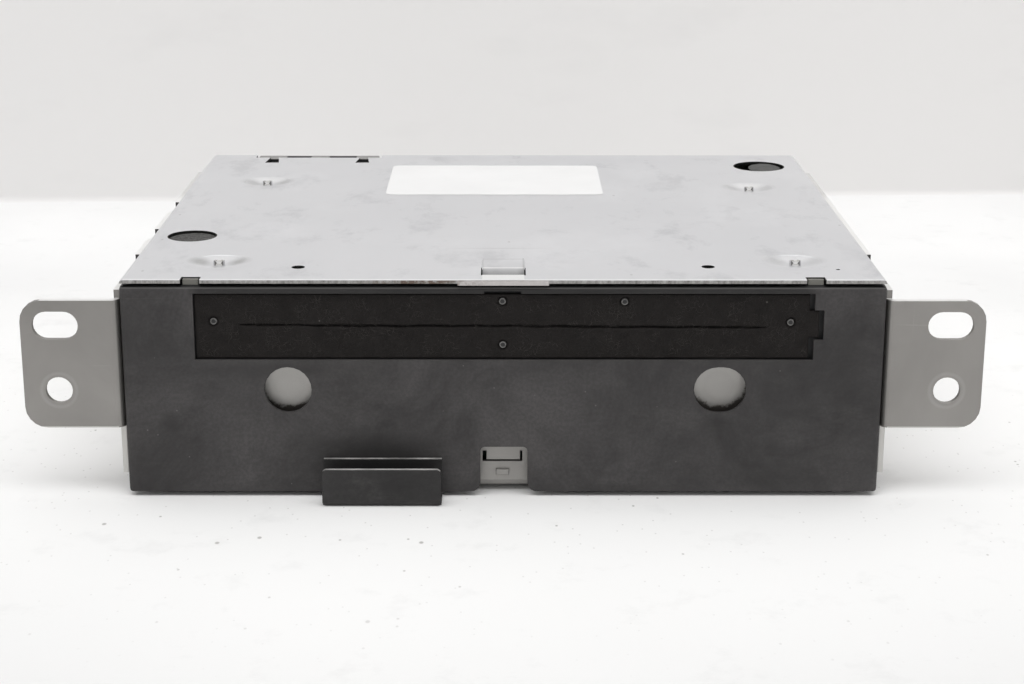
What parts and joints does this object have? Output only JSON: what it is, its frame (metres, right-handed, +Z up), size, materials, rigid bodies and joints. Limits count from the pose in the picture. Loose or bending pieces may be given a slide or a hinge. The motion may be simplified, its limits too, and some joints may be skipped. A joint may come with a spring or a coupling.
{
  "type": "car radio",
  "caption": "Slot-loading car radio with a galvanised cover, black front plate, felt-sealed disc slot, hanging hook channel and two slotted mounting ears.",
  "frame": {"origin": "centre of the bounding box at the height of the surface that the radio stands on", "axes": "+Z up, the front with the disc slot faces -Y, +X to the right seen from the front"},
  "size_m": [0.2232, 0.1728, 0.0529],
  "materials": {
    "black_felt": "fibrous",
    "black_paint": "painted, semi-matt",
    "black_plastic": "moulded, satin",
    "board_green": "lacquered",
    "bracket_steel": "plated, matt",
    "brass": "turned",
    "cast_aluminium": "extruded, satin",
    "chip_black": "moulded",
    "galvanised_steel": "galvanised, satin",
    "grey_rubber": "matt",
    "lens_glass": "coated",
    "ribbon_tan": "film",
    "sleeve_blue": "sleeve",
    "white_nylon": "moulded",
    "zinc_plate": "zinc plated"
  },
  "bodies": {
    "chassis": {"aerial_socket": "zinc_plate", "amplifier_chip": "chip_black", "board_screw_1": "zinc_plate", "board_screw_2": "zinc_plate", "board_screw_3": "zinc_plate", "board_screw_4": "zinc_plate", "bracket_screw_left_front": "zinc_plate", "bracket_screw_left_rear": "zinc_plate", "bracket_screw_right_front": "zinc_plate", "bracket_screw_right_rear": "zinc_plate", "chassis_tray": "galvanised_steel", "damper_left_front": "grey_rubber", "damper_left_rear": "grey_rubber", "damper_right_front": "grey_rubber", "damper_right_rear": "grey_rubber", "disc_guide": "black_plastic", "feed_motor": "zinc_plate", "felt_seal": "black_felt", "filter_capacitor": "sleeve_blue", "front_cover": "black_paint", "harness_connector": "black_plastic", "heat_sink": "cast_aluminium", "heat_sink_screw_1": "zinc_plate", "heat_sink_screw_2": "zinc_plate", "hook_channel": "black_paint", "left_bracket": "bracket_steel", "loading_motor": "zinc_plate", "main_board": "board_green", "main_guide_rod": "zinc_plate", "mech_deck": "galvanised_steel", "mech_frame": "galvanised_steel", "processor_chip": "chip_black", "rear_screw_left": "zinc_plate", "rear_screw_right": "zinc_plate", "ribbon_cable": "ribbon_tan", "right_bracket": "bracket_steel", "roller_spring": "zinc_plate", "side_guide_rod": "zinc_plate", "slot_frame": "black_plastic", "spindle_motor": "zinc_plate", "suspension_spring_left_front": "zinc_plate", "suspension_spring_left_rear": "zinc_plate", "suspension_spring_right_front": "zinc_plate", "suspension_spring_right_rear": "zinc_plate", "top_cover": "galvanised_steel", "tuner_module": "zinc_plate"},
    "turntable_body": {"turntable": "black_plastic"},
    "clamp_arm_body": {"clamp_arm": "galvanised_steel"},
    "clamp_disc_body": {"clamp_disc": "black_plastic"},
    "pickup_body": {"pickup_carriage": "black_plastic", "pickup_lens": "lens_glass"},
    "feed_screw_body": {"feed_screw": "brass"},
    "roller_arm_body": {"roller_arm": "galvanised_steel"},
    "roller_body": {"loading_roller": "grey_rubber", "roller_shaft": "zinc_plate", "roller_gear": "white_nylon"},
    "idler_body": {"idler_gear": "white_nylon"},
    "worm_body": {"loading_worm": "brass"}
  },
  "joints": [
    {"name": "turntable_spin", "type": "hinge", "parent": "chassis", "child": "turntable_body", "pos_m": [0, -0.0132, 0.0384], "axis": [0, 0, 1], "continuous": true},
    {"name": "clamp_arm_tilt", "type": "hinge", "parent": "chassis", "child": "clamp_arm_body", "pos_m": [0, 0.0508, 0.0462], "axis": [1, 0, 0], "range_deg": [0, 3.2]},
    {"name": "clamp_disc_spin", "type": "hinge", "parent": "clamp_arm_body", "child": "clamp_disc_body", "pos_m": [0, -0.0132, 0.0432], "axis": [0, 0, 1], "continuous": true},
    {"name": "pickup_slide", "type": "slide", "parent": "chassis", "child": "pickup_body", "axis": [1, 0, 0], "range_m": [0, 0.033]},
    {"name": "feed_screw_turn", "type": "hinge", "parent": "chassis", "child": "feed_screw_body", "pos_m": [0.014, -0.0302, 0.0341], "axis": [1, 0, 0], "range_deg": [0, 1980]},
    {"name": "roller_arm_tilt", "type": "hinge", "parent": "chassis", "child": "roller_arm_body", "pos_m": [0, -0.0392, 0.034], "axis": [1, 0, 0], "range_deg": [0, 7], "stiffness_Nm_per_rad": 0.1, "springref_deg": -11.46},
    {"name": "roller_spin", "type": "hinge", "parent": "roller_arm_body", "child": "roller_body", "pos_m": [0, -0.0662, 0.0374], "axis": [1, 0, 0], "continuous": true},
    {"name": "idler_spin", "type": "hinge", "parent": "chassis", "child": "idler_body", "pos_m": [0.0627, -0.06533, 0.04435], "axis": [1, 0, 0], "continuous": true},
    {"name": "worm_spin", "type": "hinge", "parent": "chassis", "child": "worm_body", "pos_m": [0.0683, -0.06578, 0.03885], "axis": [0, 1, 0], "continuous": true}
  ],
  "couplings": [
    {"joint": "feed_screw_turn", "follows": "pickup_slide", "rad_per_m": 1047.2},
    {"joint": "idler_spin", "follows": "roller_spin", "ratio": -0.91667},
    {"joint": "worm_spin", "follows": "roller_spin", "ratio": 11}
  ]
}
